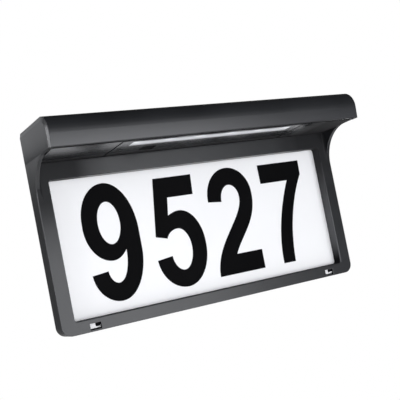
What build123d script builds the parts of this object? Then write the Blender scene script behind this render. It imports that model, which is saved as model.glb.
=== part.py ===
from build123d import *

import os
from math import asin, degrees, radians, sqrt, tan

# Illuminated house number sign: a hood over a picture-frame bezel, hung on two screws.
# X runs to the right, Y runs into the wall and Z runs up, in millimetres.
# The origin lies midway between the two keyholes, on the back plane.

os.makedirs("parts", exist_ok=True)

# ---------------------------------------------------------------- whole sign
overall_width = 304.0
overall_height = 170.0
hood_depth = 67.6  # wall to the front of the lip
hood_lean = 1.6  # how much further out the front face would reach at the top
hood_round = 15.0  # front top edge of the hood
lip_below_top = 26.6
crease_below_top = 28.9  # where the floor of the hood meets the bezel
cove_radius = 33.7  # hollow front edge of each cheek
cheek = 3.0  # side walls
porch_round = 2.5  # inside corner between cheek and bezel
end_bevel_side = 3.7  # bevel round each end of the hood, on the side
end_bevel_front = 1.0  # the same bevel, on the front
bottom_corner = 8.5

# --------------------------------------------------------------------- bezel
frame_depth = 15.4
side_bar = 12.0
bottom_bar = 10.7
opening_below_top = 42.9
opening_corner = 2.5
opening_edge_round = 0.8
face_wall = 2.5  # front walls
edge_wall = 2.0  # bottom wall
lip_wall = 2.0  # wall round the opening
roof_wall = 4.5  # top wall, with the recess for the solar panel in it
plate_recess = 9.64  # front of the bezel to the number plate

# ------------------------------------------------- catches of the number plate
window_from_side = 28.6  # middle of each catch window
window_height = 4.05  # above the bottom edge
window_wide = 9.8
window_tall = 5.4
catch_gap = 0.4
arm_height = 2.45  # loop arm above the bottom edge
arm_stem_wide = 6.0
arm_stem_tall = 4.2
arm_bar_tall = 1.05
arm_overhang = 1.7  # the bar runs on past the window
arm_reach = 6.15  # forward of the plate
catch_reach = 5.0  # back from the front wall

# -------------------------------------------------------------- number plate
plate_thickness = 2.5
plate_gap = 0.1
plate_lap = 1.7  # plate over the wall round the opening
hinge_rise = 0.8  # hinge line above the opening
pin_length = 3.6
pin_clearance = 0.05
ear_thick = 3.0
ear_gap = 0.9
ear_size = 6.4
numeral_thickness = 0.3
baseline_rise = 11.0  # baseline above the opening's bottom
numeral_headroom = 4.0  # top of a round numeral below the opening's top
nine_x = -90.0
five_x = -27.0
two_x = 32.4
seven_x = 94.4

# ---------------------------------------------------------------- rear cover
cover_thickness = 3.0
cover_gap = 0.3
seat_rise = 4.0  # lower edge of the cover's seat above the opening
seat_wide = 3.0
seat_thick = 2.7
seal_thickness = 0.8
seal_wide = 1.8
seal_inset = 0.5
cover_screw_from_side = 24.0
cover_screw_from_top = 5.7
cover_screw_from_bottom = 5.7
boss_radius = 3.2
boss_length = 11.0
boss_web = 1.6
screw_radius = 1.4
screw_head_radius = 2.7
screw_head_thick = 1.6
screw_length = 9.0
screw_clearance = 0.05
head_clearance = 0.2

# ----------------------------------------------------------------- keyholes
keyhole_from_side = 42.0
keyhole_radius = 4.25
keyhole_slot = 2.2  # half the slot's width
keyhole_travel = 8.0
keyhole_above_crease = 2.9

# ------------------------------------------------------------------- battery
cell_radius = 7.1
cell_body = 49.0
cell_nub_radius = 2.8
cell_nub = 1.0
cell_play = 0.4
battery_x = 48.0
battery_below_top = 17.0  # middle of the cell
bay_length = 56.0
bay_wall = 1.5
contact_thick = 0.4
contact_size = 10.0
door_wide = 79.0
door_tall = 20.0
door_thick = 1.3
door_seal_thick = 0.5
door_seal_wide = 1.4
door_gap = 0.25
door_screw_inset = 3.8
door_screw_length = 7.0
lead_hole = 1.3
lead_drop = 3.3  # lead holes off the cell's middle, clear of the door's screws

# --------------------------------------------------------------- solar panel
solar_from_side = 13.0
solar_from_wall = 5.0
solar_from_front = 17.6
solar_gap = 0.2
tape_thick = 0.4
tape_wide = 5.0
backing_thick = 1.0
cell_thick = 0.2
laminate_thick = 0.6
solar_cell_count = 12
solar_cell_slit = 0.4
solar_margin_side = 2.2  # panel's edge to the cells
solar_margin_front = 1.5
solar_lead_inset = 14.0
grommet_hole = 2.6
grommet_flange = 3.8

# ---------------------------------------------------- hood floor and lamp set
floor_thick = 2.5
floor_gap = 0.1
lip_seam = 0.4  # dark seam behind the lip
drip_groove = 2.2  # width of the drip groove in the floor, along that seam
drip_groove_deep = 1.4
lamp_width = 179.6
lamp_from_bezel = 0.6
lamp_from_lip = 3.6
lamp_thick = 1.5
lamp_seam = 0.5  # gap all round the lamp cover
lamp_gap = 0.2
lamp_ledge = 1.8
lamp_screw_x = 83.0
lamp_screw_from_strip = 15.15
lamp_boss_radius = 3.4
lamp_boss_tall = 6.5
lamp_screw_length = 5.0
strip_length = 158.0
strip_wide = 12.0
strip_from_front = 8.45  # middle of the strip behind the lamp cover's front edge
strip_flange = 0.9
strip_flange_thick = 1.0
strip_post = 2.5
led_count = 6
led_pitch = 30.0
led_size = 5.0
led_tall = 1.5
led_board_thick = 1.2

# ----------------------------------------------------------------- mode button
button_x = -55.5
button_share = 0.5445  # its middle's place between the bezel and the lit strip
button_wide = 12.6
button_deep = 13.6
button_gap = 0.3
button_round = 1.5
button_sink = 0.3  # the button's face above the floor's face
button_travel = 1.0
button_flange = 1.3
button_flange_thick = 1.0
stem_radius = 1.3
rim_wall = 1.6
membrane_thick = 0.6
switch_size = 8.0
switch_tall = 4.5
plunger_radius = 1.6
plunger_clearance = 0.05
plunger_out = 1.0

# -------------------------------------------------------------- control board
board_x = -52.0
board_back = 16.0
board_wide = 68.0
board_deep = 24.0
board_thick = 1.6
board_lift = 12.0  # lower face above the floor's face
post_radius = 2.5
post_left_x = -76.0
post_left_back = 8.0
post_right_x = -26.0
post_right_back = 24.0
board_screw_radius = 1.2
board_screw_head = 2.2
board_screw_head_thick = 1.3
board_screw_length = 7.0
connector_wide = 6.0
connector_deep = 5.0
connector_tall = 4.0
connector_back = 9.5  # of the solar lead, from the crease
chip_x = -50.0
chip_wide = 8.0
chip_deep = 6.0
chip_tall = 1.6
inductor_x = -38.0
inductor_back = 20.0
inductor_size = 7.0
inductor_round = 1.2
inductor_tall = 3.6
capacitor_x = -64.0
capacitor_back = 13.0
capacitor_radius = 2.5
capacitor_tall = 5.0

# ------------------------------------------------------------- internal leads
lead_radius = 1.0
solar_lead_drop = 15.2
solar_lead_run = 17.0
solar_lead_end = 12.0
led_lead_start = 13.0  # from the end of the strip
led_lead_end = 14.0
battery_lead_start = 12.0
battery_lead_end = 10.0
return_lead_start = 16.0
return_lead_forward = 17.0
return_lead_sag = 1.0
return_lead_run = 62.0
return_lead_end = 14.0

# -------------------------------------------------------------- derived places
top_z = crease_below_top - keyhole_above_crease
bottom_z = top_z - overall_height
lip_z = top_z - lip_below_top
crease_z = top_z - crease_below_top
roof_z = top_z - roof_wall
opening_width = overall_width - 2 * side_bar
opening_height = overall_height - opening_below_top - bottom_bar
opening_bottom_z = bottom_z + bottom_bar
opening_top_z = top_z - opening_below_top
opening_mid_z = (opening_bottom_z + opening_top_z) / 2
inside_half = overall_width / 2 - cheek
face_inner_y = -frame_depth + face_wall
ring_back_y = -frame_depth + plate_recess
plate_front_y = ring_back_y + plate_gap
plate_back_y = plate_front_y + plate_thickness
hinge_y = (plate_front_y + plate_back_y) / 2
hinge_z = opening_top_z + hinge_rise
seat_y = -cover_thickness - seal_thickness
seat_bottom_z = opening_top_z + seat_rise
cover_bottom_z = seat_bottom_z + cover_gap
cover_top_z = roof_z - cover_gap
cover_half = inside_half - cover_gap
battery_z = top_z - battery_below_top
bay_side = 2 * (cell_radius + cell_play)
door_floor_y = -door_thick - door_seal_thick
bay_floor_y = door_floor_y - bay_side
cell_y = bay_floor_y + bay_side / 2
window_x = overall_width / 2 - window_from_side
cover_screw_x = overall_width / 2 - cover_screw_from_side
keyhole_spacing = overall_width - 2 * keyhole_from_side
solar_width = overall_width - 2 * solar_from_side
solar_depth = hood_depth - solar_from_wall - solar_from_front
solar_y = -solar_from_wall - solar_depth / 2
solar_cell_pitch = (solar_width - 2 * solar_margin_side) / solar_cell_count
solar_cell_depth = solar_depth - 2 * solar_margin_front
solar_lead_x = -solar_width / 2 + solar_lead_inset
recess_depth = tape_thick + backing_thick + cell_thick + laminate_thick
recess_z = top_z - recess_depth
floor_slope = (crease_below_top - lip_below_top) / (hood_depth - frame_depth)
floor_deep = hood_depth - face_wall - lip_seam - frame_depth
lamp_depth = floor_deep - lamp_from_lip - lamp_from_bezel
strip_back = lamp_from_bezel + lamp_depth - strip_from_front
lamp_screw_back = strip_back - lamp_screw_from_strip
button_back = lamp_from_bezel + button_share * (strip_back - lamp_from_bezel - strip_wide / 2 - strip_flange)
post_spots = ((post_left_x, -post_left_back), (post_right_x, -post_right_back))
strip_top = lamp_thick + strip_flange_thick
led_board_lift = strip_top + strip_post
board_top = board_lift + board_thick
connector_mid = board_top + connector_tall / 2

# The floor of the hood rises a little towards the lip, and the lamp set lies square to it.
# Local x runs right, local y back towards the wall and local z up into the hood.
floor_plane = Plane(origin=(0, -frame_depth, crease_z), x_dir=(1, 0, 0), z_dir=(0, floor_slope, 1))
floor_normal = Axis(floor_plane.origin, floor_plane.z_dir)


def floor_z(y):
    """Height of the hood floor's lower face at a given depth."""
    return crease_z - floor_slope * (y + frame_depth)


def corner_near(sketch, x, y):
    """The corner of a sketch that lies nearest to a point of its plane."""
    return sketch.vertices().sort_by_distance((x, y, 0))[0]


def in_floor_plane(x, back, up):
    """A point given from the crease: right, towards the wall, and up from the floor."""
    return floor_plane.from_local_coords(Vector(x, back, up))


def mirrored(x):
    """The two places that lie the same distance either side of the middle."""
    return (-x, x)


def finish(piece, name):
    """Label a finished piece and write it."""
    piece.part.label = name
    export_step(piece.part, f"parts/{name}.step")


# ------------------------------------------------------------- front housing
with BuildPart() as porch_room:
    # the space under the hood, between the cheeks and in front of the bezel
    with BuildSketch(Plane.YZ):
        with BuildLine():
            Polyline(
                (-frame_depth, crease_z),
                (-2 * hood_depth, floor_z(-2 * hood_depth)),
                (-2 * hood_depth, bottom_z - frame_depth),
                (-frame_depth, bottom_z - frame_depth),
                close=True,
            )
        make_face()
    extrude(amount=inside_half, both=True)
    fillet(porch_room.edges().filter_by(Axis.Z).group_by(Axis.Y)[-1], porch_round)

with BuildPart() as hood_room:
    # the space inside the hood, down to the lower face of its floor
    hood_inner_y = -hood_depth + face_wall
    with BuildSketch(Plane.YZ) as hood_room_profile:
        with BuildLine():
            Polyline(
                (0, crease_z),
                (0, roof_z),
                (hood_inner_y - hood_lean, roof_z),
                (hood_inner_y, floor_z(hood_inner_y)),
                (face_inner_y, floor_z(face_inner_y)),
                close=True,
            )
        make_face()
        fillet(corner_near(hood_room_profile, hood_inner_y - hood_lean, roof_z), hood_round - face_wall)
    extrude(amount=inside_half, both=True)

with BuildPart() as front_housing:
    with BuildSketch(Plane.YZ) as side_profile:
        with BuildLine():
            Polyline(
                (0, bottom_z),
                (0, top_z),
                (-hood_depth - hood_lean, top_z),
                (-hood_depth, lip_z),
                (-frame_depth, lip_z),
                (-frame_depth, bottom_z),
                close=True,
            )
        make_face()
        fillet(corner_near(side_profile, -hood_depth - hood_lean, top_z), hood_round)
        fillet(corner_near(side_profile, -frame_depth, lip_z), cove_radius)
    extrude(amount=overall_width / 2, both=True)
    fillet(front_housing.edges().filter_by(Axis.Y).group_by(Axis.Z)[0], bottom_corner)
    for end in (0, -1):
        end_face = front_housing.faces().sort_by(Axis.X)[end]
        hood_rim = end_face.edges().filter_by(
            lambda edge: edge.center().Z > lip_z + 1 and edge.center().Y < -1
        )
        chamfer(hood_rim, length=end_bevel_side, length2=end_bevel_front, reference=end_face)
    add(porch_room.part, mode=Mode.SUBTRACT)
    add(hood_room.part, mode=Mode.SUBTRACT)

    # hollow back of the bezel
    pocket_bottom_z = bottom_z + edge_wall
    with BuildSketch(Plane.XZ.offset(-face_inner_y)) as pocket:
        with Locations((0, (pocket_bottom_z + roof_z) / 2)):
            Rectangle(2 * inside_half, roof_z - pocket_bottom_z)
        fillet(pocket.vertices().group_by(Axis.Y)[0], bottom_corner - edge_wall)
    extrude(amount=face_inner_y, mode=Mode.SUBTRACT)

    # wall round the opening, which the number plate closes on
    with BuildSketch(Plane.XZ.offset(-face_inner_y)):
        with Locations((0, opening_mid_z)):
            RectangleRounded(
                opening_width + 2 * lip_wall, opening_height + 2 * lip_wall, opening_corner + lip_wall
            )
    extrude(amount=face_inner_y - ring_back_y)
    with BuildSketch(Plane.XZ.offset(frame_depth)):
        with Locations((0, opening_mid_z)):
            RectangleRounded(opening_width, opening_height, opening_corner)
    extrude(amount=-plate_recess, mode=Mode.SUBTRACT)
    opening_rim = front_housing.edges().filter_by(
        lambda edge: abs(edge.center().Y + frame_depth) < 0.01
        and abs(edge.center().X) < opening_width / 2 + 0.01
        and abs(edge.center().Z - opening_mid_z) < opening_height / 2 + 0.01
    )
    fillet(opening_rim, opening_edge_round)

    # seat for the rear cover: a ledge all round, joined to the front wall at the bottom
    seat_height = roof_z - seat_bottom_z
    with BuildSketch(Plane.XZ.offset(-seat_y)):
        with Locations((0, seat_bottom_z + seat_height / 2)):
            Rectangle(2 * inside_half, seat_height)
            Rectangle(2 * (inside_half - seat_wide), seat_height - 2 * seat_wide, mode=Mode.SUBTRACT)
    extrude(amount=seat_thick)
    with BuildSketch(Plane.XZ.offset(-seat_y)):
        with Locations((0, seat_bottom_z + seat_wide / 2)):
            Rectangle(2 * inside_half, seat_wide)
    extrude(amount=seat_y - face_inner_y)

    # screw bosses for the rear cover, the upper row on webs from the roof
    upper_screw_z = roof_z - cover_screw_from_top
    lower_screw_z = seat_bottom_z + cover_screw_from_bottom
    cover_screw_columns = (-cover_screw_x, 0, cover_screw_x)
    cover_screw_spots = [(x, z) for x in cover_screw_columns for z in (lower_screw_z, upper_screw_z)]
    with BuildSketch(Plane.XZ.offset(cover_thickness)):
        with Locations(*[(x, lower_screw_z) for x in cover_screw_columns]):
            Circle(boss_radius)
    extrude(amount=-cover_thickness - face_inner_y)
    with BuildSketch(Plane.XZ.offset(cover_thickness)):
        with Locations(*[(x, upper_screw_z) for x in cover_screw_columns]):
            Circle(boss_radius)
    extrude(amount=boss_length)
    with BuildSketch(Plane.XZ.offset(-seat_y)):
        with Locations(*[(x, (upper_screw_z + roof_z) / 2) for x in cover_screw_columns]):
            Rectangle(boss_web, roof_z - upper_screw_z)
    extrude(amount=boss_length - seal_thickness)
    with BuildSketch(Plane.XZ.offset(cover_thickness)):
        with Locations(*cover_screw_spots):
            Circle(screw_radius + screw_clearance)
    extrude(amount=screw_length, mode=Mode.SUBTRACT)

    # ears for the pins of the number plate
    plate_half = opening_width / 2 + plate_lap
    ear_x = plate_half + ear_gap + ear_thick / 2
    ear_back_y = hinge_y + plate_thickness / 2 + plate_gap + 0.5
    with BuildSketch(Plane.XZ.offset(-ear_back_y)):
        with Locations(*[(x, hinge_z) for x in mirrored(ear_x)]):
            Rectangle(ear_thick, ear_size)
    extrude(amount=ear_back_y - face_inner_y)
    with BuildSketch(Plane.YZ):
        with Locations((hinge_y, hinge_z)):
            Circle(plate_thickness / 2 + pin_clearance)
    extrude(amount=ear_x + ear_thick / 2, both=True, mode=Mode.SUBTRACT)

    # catch windows through the bottom bar, and the catch block behind each
    window_z = bottom_z + window_height
    channel_top_z = opening_bottom_z - lip_wall
    with BuildSketch(Plane.XZ.offset(frame_depth)):
        with Locations(*[(x, window_z) for x in mirrored(window_x)]):
            Rectangle(window_wide, window_tall)
    extrude(amount=-face_wall, mode=Mode.SUBTRACT)
    arm_left = -window_wide / 2
    arm_right = window_wide / 2 + arm_overhang
    catch_left = arm_left + arm_stem_wide + catch_gap
    catch_bottom_z = bottom_z + arm_height + arm_bar_tall + catch_gap
    catch_wide = arm_right - catch_left
    catch_tall = channel_top_z - catch_bottom_z
    with BuildSketch(Plane.XZ.offset(-face_inner_y)):
        for x in mirrored(window_x):
            with Locations((x + catch_left + catch_wide / 2, catch_bottom_z + catch_tall / 2)):
                Rectangle(catch_wide, catch_tall)
    extrude(amount=-catch_reach)

    # recess for the solar panel in the roof, and the hole for its lead
    with BuildSketch(Plane.XY.offset(top_z)):
        with Locations((0, solar_y)):
            Rectangle(solar_width + 2 * solar_gap, solar_depth + 2 * solar_gap)
    extrude(amount=-recess_depth, mode=Mode.SUBTRACT)
    with BuildSketch(Plane.XY.offset(top_z)):
        with Locations((solar_lead_x, solar_y)):
            Circle(grommet_hole)
    extrude(amount=-roof_wall, mode=Mode.SUBTRACT)

finish(front_housing, "front_housing")

# ---------------------------------------------------------- floor of the hood
floor_front = -floor_deep
floor_back = face_wall
lamp_mid = -lamp_from_bezel - lamp_depth / 2
rebate_wide = lamp_width + 2 * lamp_seam
rebate_deep = lamp_depth + 2 * lamp_seam
with BuildPart() as hood_underside:
    with BuildSketch(floor_plane):
        with Locations((0, (floor_front + floor_back) / 2)):
            Rectangle(2 * (inside_half - floor_gap), floor_back - floor_front)
    extrude(amount=floor_thick)
    with BuildSketch(floor_plane):
        with Locations((0, floor_front + drip_groove / 2)):
            Rectangle(2 * inside_half, drip_groove)
    extrude(amount=drip_groove_deep, mode=Mode.SUBTRACT)
    with BuildSketch(floor_plane):
        with Locations((0, lamp_mid)):
            Rectangle(rebate_wide, rebate_deep)
    extrude(amount=lamp_thick, mode=Mode.SUBTRACT)
    with BuildSketch(floor_plane):
        with Locations((0, lamp_mid)):
            Rectangle(rebate_wide - 2 * lamp_ledge, rebate_deep - 2 * lamp_ledge)
    extrude(amount=floor_thick, mode=Mode.SUBTRACT)
    # bosses for the two screws of the lamp cover, each on an arm from the ledge
    with BuildSketch(floor_plane.offset(lamp_thick)):
        for x in mirrored(lamp_screw_x):
            with Locations((x, -lamp_screw_back)):
                Circle(lamp_boss_radius)
        for side in (-1, 1):
            arm_end = rebate_wide / 2
            with Locations((side * (lamp_screw_x + arm_end) / 2, -lamp_screw_back)):
                Rectangle(arm_end - lamp_screw_x, lamp_boss_radius)
    extrude(amount=lamp_boss_tall)
    with BuildSketch(floor_plane.offset(lamp_thick)):
        with Locations(*[(x, -lamp_screw_back) for x in mirrored(lamp_screw_x)]):
            Circle(board_screw_radius + screw_clearance)
    extrude(amount=lamp_screw_length, mode=Mode.SUBTRACT)

finish(hood_underside, "hood_underside")

# --------------------------------------------------- lamp cover and its screws
screw_recess = board_screw_head_thick - 0.4
with BuildPart() as lamp_cover:
    with BuildSketch(floor_plane):
        with Locations((0, lamp_mid)):
            Rectangle(lamp_width, lamp_depth)
    extrude(amount=lamp_thick)
    # rim that carries the button's membrane
    membrane_seat = button_sink + lamp_thick + button_flange_thick + button_travel
    rim_inner_wide = button_wide + 2 * (button_flange + button_gap)
    rim_inner_deep = button_deep + 2 * (button_flange + button_gap)
    with BuildSketch(floor_plane):
        with Locations((button_x, -button_back)):
            Rectangle(rim_inner_wide + 2 * rim_wall, rim_inner_deep + 2 * rim_wall)
    extrude(amount=membrane_seat)
    with BuildSketch(floor_plane.offset(lamp_thick)):
        with Locations((button_x, -button_back)):
            Rectangle(rim_inner_wide, rim_inner_deep)
    extrude(amount=membrane_seat, mode=Mode.SUBTRACT)
    # posts for the control board
    with BuildSketch(floor_plane):
        with Locations(*post_spots):
            Circle(post_radius)
    extrude(amount=board_lift)
    with BuildSketch(floor_plane.offset(board_lift)):
        with Locations(*post_spots):
            Circle(board_screw_radius + screw_clearance)
    extrude(amount=-board_screw_length + board_thick, mode=Mode.SUBTRACT)
    # openings for the lit strip, the button and the screws
    with BuildSketch(floor_plane):
        with Locations((0, -strip_back)):
            Rectangle(strip_length + 2 * lamp_gap, strip_wide + 2 * lamp_gap)
        with Locations((button_x, -button_back)):
            RectangleRounded(
                button_wide + 2 * button_gap, button_deep + 2 * button_gap, button_round + button_gap
            )
        with Locations(*[(x, -lamp_screw_back) for x in mirrored(lamp_screw_x)]):
            Circle(board_screw_radius + screw_clearance)
    extrude(amount=lamp_thick, mode=Mode.SUBTRACT)
    with BuildSketch(floor_plane):
        with Locations(*[(x, -lamp_screw_back) for x in mirrored(lamp_screw_x)]):
            Circle(board_screw_head + head_clearance)
    extrude(amount=screw_recess, mode=Mode.SUBTRACT)

finish(lamp_cover, "lamp_cover")

with BuildPart() as lamp_cover_screws:
    # pan heads just below the floor's face, with a cross slot
    for x in mirrored(lamp_screw_x):
        with BuildSketch(floor_plane.offset(screw_recess)):
            with Locations((x, -lamp_screw_back)):
                Circle(board_screw_head)
        extrude(amount=-screw_recess + head_clearance)
        with BuildSketch(floor_plane.offset(screw_recess)):
            with Locations((x, -lamp_screw_back)):
                Circle(board_screw_radius)
        extrude(amount=lamp_screw_length)
        with BuildSketch(floor_plane.offset(head_clearance)):
            with Locations((x, -lamp_screw_back)):
                Rectangle(board_screw_head, board_screw_head / 4)
                Rectangle(board_screw_head / 4, board_screw_head)
        extrude(amount=screw_recess / 2, mode=Mode.SUBTRACT)

finish(lamp_cover_screws, "lamp_cover_screws")

# ------------------------------------------------------- lit strip and lamps
with BuildPart() as led_diffuser:
    with BuildSketch(floor_plane):
        with Locations((0, -strip_back)):
            Rectangle(strip_length, strip_wide)
    extrude(amount=strip_top)
    with BuildSketch(floor_plane.offset(lamp_thick)):
        with Locations((0, -strip_back)):
            Rectangle(strip_length + 2 * strip_flange, strip_wide + 2 * strip_flange)
    extrude(amount=strip_flange_thick)
    # end posts that carry the lamp board
    with BuildSketch(floor_plane.offset(lamp_thick)):
        with Locations(*[(x, -strip_back) for x in mirrored(strip_length / 2)]):
            Rectangle(2 * strip_flange, strip_wide)
    extrude(amount=strip_flange_thick + strip_post)

finish(led_diffuser, "led_diffuser")

with BuildPart() as led_board:
    with BuildSketch(floor_plane.offset(led_board_lift)):
        with Locations((0, -strip_back)):
            Rectangle(strip_length + 2 * strip_flange, strip_wide)
    extrude(amount=led_board_thick)

finish(led_board, "led_board")

with BuildPart() as led_packages:
    with BuildSketch(floor_plane.offset(led_board_lift)):
        with Locations((0, -strip_back)):
            with GridLocations(led_pitch, led_size, led_count, 1):
                Rectangle(led_size, led_size)
    extrude(amount=-led_tall)

finish(led_packages, "led_packages")

# -------------------------------------------------------- button and switch
button_top = button_sink + lamp_thick + button_flange_thick
plunger_tip = board_lift - switch_tall - plunger_out
with BuildPart() as mode_button:
    with BuildSketch(floor_plane.offset(button_sink)):
        with Locations((button_x, -button_back)):
            RectangleRounded(button_wide, button_deep, button_round)
    extrude(amount=button_top - button_sink)
    fillet(mode_button.faces().sort_by(floor_normal)[0].edges(), button_sink)
    with BuildSketch(floor_plane.offset(button_top)):
        with Locations((button_x, -button_back)):
            Rectangle(button_wide + 2 * button_flange, button_deep + 2 * button_flange)
    extrude(amount=-button_flange_thick)
    with BuildSketch(floor_plane.offset(button_top)):
        with Locations((button_x, -button_back)):
            Circle(stem_radius)
    extrude(amount=plunger_tip - button_top)

finish(mode_button, "mode_button")

with BuildPart() as button_seal:
    # rubber sheet on the rim, open only for the stem
    with BuildSketch(floor_plane.offset(membrane_seat)):
        with Locations((button_x, -button_back)):
            Rectangle(rim_inner_wide + 2 * rim_wall, rim_inner_deep + 2 * rim_wall)
            Circle(stem_radius + button_gap, mode=Mode.SUBTRACT)
    extrude(amount=membrane_thick)

finish(button_seal, "button_seal")

with BuildPart() as mode_switch:
    with BuildSketch(floor_plane.offset(board_lift)):
        with Locations((button_x, -button_back)):
            RectangleRounded(switch_size, switch_size, switch_size / 10)
    extrude(amount=-switch_tall)
    with BuildSketch(floor_plane.offset(board_lift - switch_tall)):
        with Locations((button_x, -button_back)):
            Circle(plunger_radius + plunger_clearance)
    extrude(amount=2 * plunger_out + 2 * button_travel / 3, mode=Mode.SUBTRACT)

finish(mode_switch, "mode_switch")

with BuildPart() as switch_plunger:
    with BuildSketch(floor_plane.offset(plunger_tip)):
        with Locations((button_x, -button_back)):
            Circle(plunger_radius)
    extrude(amount=2 * plunger_out + button_travel / 2)

finish(switch_plunger, "switch_plunger")

# -------------------------------------------------------------- control board
with BuildPart() as control_board:
    with BuildSketch(floor_plane.offset(board_lift)):
        with Locations((board_x, -board_back)):
            Rectangle(board_wide, board_deep)
        with Locations(*post_spots):
            Circle(board_screw_radius + screw_clearance, mode=Mode.SUBTRACT)
    extrude(amount=board_thick)

finish(control_board, "control_board")

with BuildPart() as board_screws:
    with BuildSketch(floor_plane.offset(board_top)):
        with Locations(*post_spots):
            Circle(board_screw_head)
    extrude(amount=board_screw_head_thick)
    with BuildSketch(floor_plane.offset(board_top)):
        with Locations(*post_spots):
            Circle(board_screw_radius)
    extrude(amount=-board_screw_length)

finish(board_screws, "board_screws")

board_left = board_x - board_wide / 2
board_right = board_x + board_wide / 2
left_connector_x = board_left + connector_wide / 2
right_connector_x = board_right - connector_wide / 2
solar_connector_back = -connector_back
led_connector_back = -board_back - connector_back / 2
battery_connector_backs = (-board_back, -board_back + 1.5 * connector_deep)
connector_spots = [(left_connector_x, solar_connector_back), (left_connector_x, led_connector_back)]
connector_spots += [(right_connector_x, back) for back in battery_connector_backs]
with BuildPart() as board_components:
    with BuildSketch(floor_plane.offset(board_top)):
        with Locations(*connector_spots):
            Rectangle(connector_wide, connector_deep)
    extrude(amount=connector_tall)
    # driver chip, inductor and storage capacitor
    with BuildSketch(floor_plane.offset(board_top)):
        with Locations((chip_x, -board_back)):
            Rectangle(chip_wide, chip_deep)
    extrude(amount=chip_tall)
    with BuildSketch(floor_plane.offset(board_top)):
        with Locations((inductor_x, -inductor_back)):
            RectangleRounded(inductor_size, inductor_size, inductor_round)
    extrude(amount=inductor_tall)
    with BuildSketch(floor_plane.offset(board_top)):
        with Locations((capacitor_x, -capacitor_back)):
            Circle(capacitor_radius)
    extrude(amount=capacitor_tall)

finish(board_components, "board_components")

# ----------------------------------------------------------------- rear cover
bay_top_z = battery_z + bay_side / 2
door_half = door_wide / 2
door_screw_spots = [(battery_x + side * (door_half - door_screw_inset), battery_z) for side in (-1, 1)]
with BuildPart() as rear_cover:
    with BuildSketch(Plane.XZ):
        with Locations((0, (cover_bottom_z + cover_top_z) / 2)):
            Rectangle(2 * cover_half, cover_top_z - cover_bottom_z)
    extrude(amount=cover_thickness)
    # battery bay and the door's screw bosses
    with BuildSketch(Plane.XZ):
        with Locations((battery_x, battery_z)):
            Rectangle(bay_length + 2 * bay_wall, bay_side + 2 * bay_wall)
    extrude(amount=-bay_floor_y + bay_wall)
    with BuildSketch(Plane.XZ):
        with Locations(*door_screw_spots):
            Circle(boss_radius)
    extrude(amount=door_thick + door_screw_length + bay_wall)
    with BuildSketch(Plane.XZ):
        with Locations((battery_x, battery_z)):
            Rectangle(door_wide + 2 * door_gap, door_tall + 2 * door_gap)
    extrude(amount=-door_floor_y, mode=Mode.SUBTRACT)
    with BuildSketch(Plane.XZ):
        with Locations((battery_x, battery_z)):
            Rectangle(bay_length, bay_side)
    extrude(amount=-bay_floor_y, mode=Mode.SUBTRACT)
    with BuildSketch(Plane.XZ):
        with Locations(*door_screw_spots):
            Circle(screw_radius + head_clearance)
    extrude(amount=door_thick + door_screw_length, mode=Mode.SUBTRACT)
    # holes in the bay's ends for the battery leads
    with BuildSketch(Plane.YZ.offset(battery_x - bay_length / 2 - bay_wall)):
        with Locations((cell_y - lead_drop, battery_z)):
            Circle(lead_hole)
    extrude(amount=bay_length + 2 * bay_wall, mode=Mode.SUBTRACT)
    # keyholes: the head goes in at the round end and the sign drops onto the shank
    keyhole_columns = mirrored(keyhole_spacing / 2)
    with BuildSketch(Plane.XZ):
        for x in keyhole_columns:
            with Locations((x, 0)):
                Circle(keyhole_radius)
            with Locations((x, keyhole_travel)):
                Circle(keyhole_slot)
            with Locations((x, keyhole_travel / 2)):
                Rectangle(2 * keyhole_slot, keyhole_travel)
    extrude(amount=cover_thickness, mode=Mode.SUBTRACT)
    # screw holes with sunk heads
    with BuildSketch(Plane.XZ):
        with Locations(*cover_screw_spots):
            Circle(screw_radius + head_clearance)
    extrude(amount=cover_thickness, mode=Mode.SUBTRACT)
    with BuildSketch(Plane.XZ):
        with Locations(*cover_screw_spots):
            Circle(screw_head_radius + head_clearance)
    extrude(amount=screw_head_thick, mode=Mode.SUBTRACT)

finish(rear_cover, "rear_cover")

with BuildPart() as rear_cover_screws:
    with BuildSketch(Plane.XZ.offset(head_clearance)):
        with Locations(*cover_screw_spots):
            Circle(screw_head_radius)
    extrude(amount=screw_head_thick - head_clearance)
    with BuildSketch(Plane.XZ.offset(head_clearance)):
        with Locations(*cover_screw_spots):
            Circle(screw_radius)
    extrude(amount=screw_length)
    with BuildSketch(Plane.XZ.offset(head_clearance)):
        with Locations(*cover_screw_spots):
            Rectangle(screw_head_radius, screw_head_radius / 4)
            Rectangle(screw_head_radius / 4, screw_head_radius)
    extrude(amount=screw_head_thick / 2, mode=Mode.SUBTRACT)

finish(rear_cover_screws, "rear_cover_screws")

with BuildPart() as rear_seal:
    seal_half = inside_half - seal_inset
    seal_height = seat_height - 2 * seal_inset
    with BuildSketch(Plane.XZ.offset(cover_thickness)):
        with Locations((0, seat_bottom_z + seat_height / 2)):
            Rectangle(2 * seal_half, seal_height)
            Rectangle(2 * (seal_half - seal_wide), seal_height - 2 * seal_wide, mode=Mode.SUBTRACT)
    extrude(amount=seal_thickness)

finish(rear_seal, "rear_seal")

# --------------------------------------------------------------- battery door
with BuildPart() as battery_door:
    with BuildSketch(Plane.XZ):
        with Locations((battery_x, battery_z)):
            Rectangle(door_wide, door_tall)
        with Locations(*door_screw_spots):
            Circle(screw_radius + screw_clearance, mode=Mode.SUBTRACT)
    extrude(amount=door_thick)
    with BuildSketch(Plane.XZ):
        with Locations(*door_screw_spots):
            Circle(screw_head_radius + head_clearance)
    extrude(amount=door_thick / 2, mode=Mode.SUBTRACT)

finish(battery_door, "battery_door")

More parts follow.
